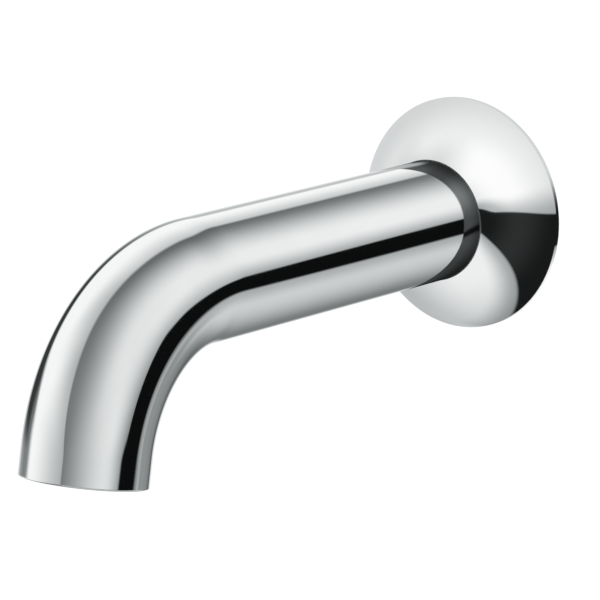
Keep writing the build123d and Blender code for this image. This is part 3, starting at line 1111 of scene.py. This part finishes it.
def make_floor(studio):
    """A pale flat floor, which is see-through from below and is not mirrored in the chrome."""
    side = between(-studio.floor_size / 2, studio.floor_size / 2, 1)
    across, ahead = np.meshgrid(side, side)
    points = np.stack([across, ahead, np.full(across.shape, studio.floor_height)], axis=-1).reshape(-1, 3)
    mesh = bpy.data.meshes.new("floor")
    mesh.from_pydata(points.tolist(), [], [(0, 1, 3, 2)])
    material, tree, shader, place = new_finish("pale_floor")
    patches = use_group(tree, mottle_group(), place, FLOOR_SCALES)
    plain = tuple(studio.floor_colour)
    worn = tuple(FLOOR_WORN * part for part in plain)
    feed(tree, shader["Base Color"], blend_colour(tree, patches["Mask"], plain, worn))
    shader["Roughness"].default_value = FLOOR_ROUGHNESS
    shader["Specular IOR Level"].default_value = 0.0
    surface = next(node for node in tree.nodes if node.type == "BSDF_PRINCIPLED")
    output = next(node for node in tree.nodes if node.type == "OUTPUT_MATERIAL")
    clear = tree.nodes.new("ShaderNodeBsdfTransparent")
    behind = tree.nodes.new("ShaderNodeNewGeometry").outputs["Backfacing"]
    both = tree.nodes.new("ShaderNodeMixShader")
    tree.links.new(behind, both.inputs[0])
    tree.links.new(surface.outputs[0], both.inputs[1])
    tree.links.new(clear.outputs[0], both.inputs[2])
    tree.links.new(both.outputs[0], output.inputs["Surface"])
    mesh.materials.append(material)
    floor = bpy.data.objects.new("floor", mesh)
    bpy.context.scene.collection.objects.link(floor)
    floor.visible_glossy = False


FARTHEST_SEEN = 100


def make_camera(studio):
    """The camera, at the photograph's angle: it looks at its target from the right and a little above."""
    back = Vector((
        math.sin(studio.azimuth) * math.cos(studio.elevation),
        -math.cos(studio.azimuth) * math.cos(studio.elevation),
        math.sin(studio.elevation),
    ))
    data = bpy.data.cameras.new("camera")
    data.lens = studio.focal
    data.clip_end = FARTHEST_SEEN
    camera = bpy.data.objects.new("camera", data)
    bpy.context.scene.collection.objects.link(camera)
    camera.location = Vector((0, -studio.target_reach, studio.target_height)) + back * studio.distance
    camera.rotation_mode = "QUATERNION"
    camera.rotation_quaternion = (-back).to_track_quat("-Z", "Y") @ Quaternion((0, 0, 1), studio.roll)
    bpy.context.scene.camera = camera


# Operators


class PieceOperator:
    """What every operator here shares."""

    bl_options = {"REGISTER", "UNDO"}

    def execute(self, context):
        """Makes the pieces and reports that they are done."""
        self.make(context.scene.bath_spout)
        return {"FINISHED"}


class BATH_SPOUT_OT_tube(PieceOperator, bpy.types.Operator):
    """Make the bent chromed tube"""

    bl_idname = "bath_spout.tube"
    bl_label = "Spout Tube"

    def make(self, settings):
        finish = made_once("chrome_plating", chrome_finish, settings.finishes)
        surface = tube_surface(settings.tube)
        add_piece("spout_tube_polished", "spout_tube", "polished_chrome", finish, *surface)


class BATH_SPOUT_OT_flange(PieceOperator, bpy.types.Operator):
    """Make the domed chromed wall flange"""

    bl_idname = "bath_spout.flange"
    bl_label = "Wall Flange"

    def make(self, settings):
        section = flange_section(settings.flange, settings.tube.diameter / 2)
        radius, reach = section.T[:, :, None]
        points = turned_points(radius, reach, ring_turns(FLANGE_COLUMNS))
        faces = ring_faces(np.arange(points[..., 0].size).reshape(points.shape[:2]))
        finish = made_once("chrome_plating", chrome_finish, settings.finishes)
        add_piece("wall_flange_polished", "wall_flange", "polished_chrome", finish, points, faces)


class BATH_SPOUT_OT_spigot(PieceOperator, bpy.types.Operator):
    """Make the threaded brass spigot"""

    bl_idname = "bath_spout.spigot"
    bl_label = "Fixing Spigot"

    def make(self, settings):
        finish = made_once("inlet_brass", brass_finish, settings.finishes)
        surface = spigot_surface(settings.spigot)
        add_piece("fixing_spigot_threaded", "fixing_spigot", "turned_brass", finish, *surface)


class BATH_SPOUT_OT_brass(PieceOperator, bpy.types.Operator):
    """Finish the brass sleeve and the brass outlet bush"""

    bl_idname = "bath_spout.brass"
    bl_label = "Sleeve and Bush"

    def make(self, settings):
        tube = settings.tube
        end = tube.straight_reach + tube.bend_radius * tube.bend_angle + tube.outlet_straight
        reach, drop, turned_by = tube_line(tube, end)
        dress("inlet_sleeve", made_once("inlet_brass", brass_finish, settings.finishes))
        place = (0, -reach, -drop)
        outlet = made_once("outlet_brass", brass_finish, settings.finishes, place, float(turned_by))
        dress("outlet_bush", outlet)


class BATH_SPOUT_OT_screw(PieceOperator, bpy.types.Operator):
    """Finish the steel grub screw"""

    bl_idname = "bath_spout.screw"
    bl_label = "Grub Screw"

    def make(self, settings):
        dress("grub_screw", made_once("oiled_steel", steel_finish, settings.finishes))


class BATH_SPOUT_OT_seals(PieceOperator, bpy.types.Operator):
    """Finish the rubber rings, the washer and the foam gasket"""

    bl_idname = "bath_spout.seals"
    bl_label = "Seals and Gasket"

    def make(self, settings):
        rubber = made_once("black_rubber", rubber_finish, settings.finishes)
        for node in ("spigot_seal_rear", "spigot_seal_front", "flange_seal", "straightener_washer"):
            dress(node, rubber)
        dress("wall_gasket", made_once("black_foam", foam_finish, settings.finishes))


class BATH_SPOUT_OT_straightener(PieceOperator, bpy.types.Operator):
    """Finish the stream straightener's chromed ring and its plastic honeycomb"""

    bl_idname = "bath_spout.straightener"
    bl_label = "Stream Straightener"

    def make(self, settings):
        dress("straightener_housing", made_once("chrome_plating", chrome_finish, settings.finishes))
        dress("honeycomb_core", made_once("moulded_plastic", plastic_finish, settings.finishes))


FITTINGS = (
    "inlet_sleeve",
    "outlet_bush",
    "grub_screw",
    "straightener_housing",
    "honeycomb_core",
    "wall_gasket",
)
INLET_CENTRE = (0, -0.01, 0)
BEND_CENTRE = (0, -0.17, -0.03)


class BATH_SPOUT_OT_studio(PieceOperator, bpy.types.Operator):
    """Set up the floor, the light and the camera"""

    bl_idname = "bath_spout.studio"
    bl_label = "Studio"

    def make(self, settings):
        bpy.context.scene.view_settings.view_transform = "Standard"
        make_world(settings.studio)
        make_floor(settings.studio)
        flange = [bpy.data.objects["wall_flange_polished"]]
        tube = [bpy.data.objects["spout_tube_polished"]]
        make_panels("flange_panel", settings.studio, flange, INLET_CENTRE, flange_view, tube_view)
        make_panels("tube_panel", settings.studio, tube, BEND_CENTRE, tube_view, flange_view)
        fittings = [bpy.data.objects["fixing_spigot_threaded"]]
        fittings += [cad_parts[node] for node in FITTINGS]
        make_panels("fitting_panel", settings.studio, fittings, INLET_CENTRE, fitting_view, shared_view)
        make_camera(settings.studio)


class BATH_SPOUT_PT_panel(bpy.types.Panel):
    """Lists the steps that make the bath spout"""

    bl_idname = "BATH_SPOUT_PT_panel"
    bl_label = "Bath Spout"
    bl_space_type = "VIEW_3D"
    bl_region_type = "UI"
    bl_category = "Bath Spout"

    def draw(self, context):
        for step in STEPS:
            self.layout.operator(step.bl_idname)


STEPS = (
    BATH_SPOUT_OT_tube,
    BATH_SPOUT_OT_flange,
    BATH_SPOUT_OT_spigot,
    BATH_SPOUT_OT_brass,
    BATH_SPOUT_OT_screw,
    BATH_SPOUT_OT_seals,
    BATH_SPOUT_OT_straightener,
    BATH_SPOUT_OT_studio,
)
SETTINGS = (TubeSizes, FlangeSizes, SpigotSizes, Finishes, StudioSettings, BathSpoutSettings)


def register():
    """Registers the settings, the operators and the panel."""
    for part in (*SETTINGS, *STEPS, BATH_SPOUT_PT_panel):
        bpy.utils.register_class(part)
    bpy.types.Scene.bath_spout = bpy.props.PointerProperty(type=BathSpoutSettings)


def unregister():
    """Takes the settings, the operators and the panel away again."""
    del bpy.types.Scene.bath_spout
    for part in reversed((*SETTINGS, *STEPS, BATH_SPOUT_PT_panel)):
        bpy.utils.unregister_class(part)


def main():
    register()
    for step in STEPS:
        group, name = step.bl_idname.split(".")
        getattr(getattr(bpy.ops, group), name)()


if __name__ == "__main__":
    main()
